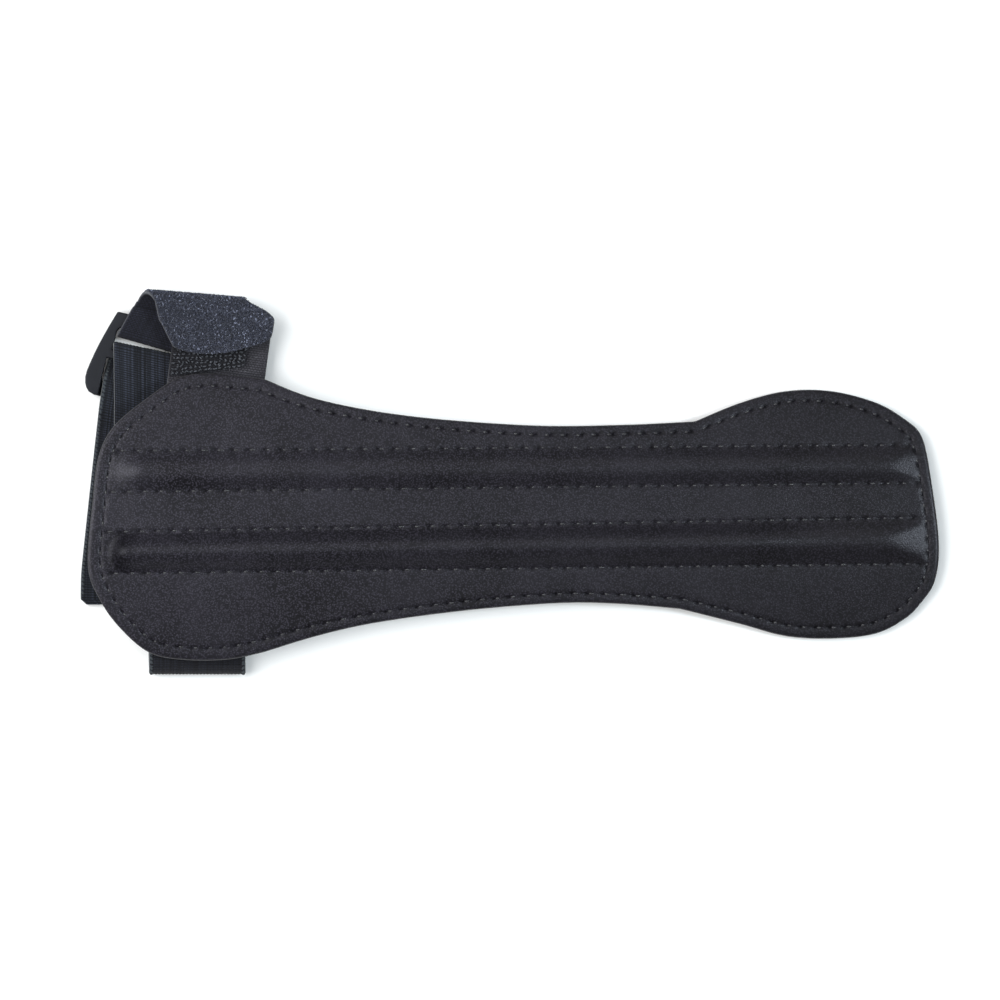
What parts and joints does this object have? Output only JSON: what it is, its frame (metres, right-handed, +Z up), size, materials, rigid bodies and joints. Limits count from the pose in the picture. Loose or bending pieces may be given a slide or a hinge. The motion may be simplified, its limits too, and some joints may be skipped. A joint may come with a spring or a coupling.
{
  "type": "arm guard",
  "caption": "Long waisted leather forearm guard with raised lengthwise ribs, lying on its folded elastic strap with a slider and a hook and loop closure.",
  "frame": {"origin": "middle of the footprint's box, on the surface that the guard lies on", "axes": "+X from the elbow end to the wrist end, +Y across the arm towards the closure, +Z up, out of the leather face"},
  "size_m": [0.2224, 0.0996, 0.0168],
  "materials": {
    "leather_face": "matt black grained leather",
    "leather_back": "matt black leather, flesh side out",
    "elastic": "black ribbed elastic webbing",
    "slider_plastic": "satin black moulding",
    "loop_webbing": "black loop pile",
    "webbing": "black woven webbing",
    "hook_tape": "black hook tape"
  },
  "bodies": {
    "root": {"face_panel": "leather_face", "back_panel": "leather_back", "elastic_strap": "elastic", "slider": "slider_plastic", "closure_strap": "loop_webbing", "hook_tab": "webbing", "hook_patch": "hook_tape"}
  },
  "joints": []
}
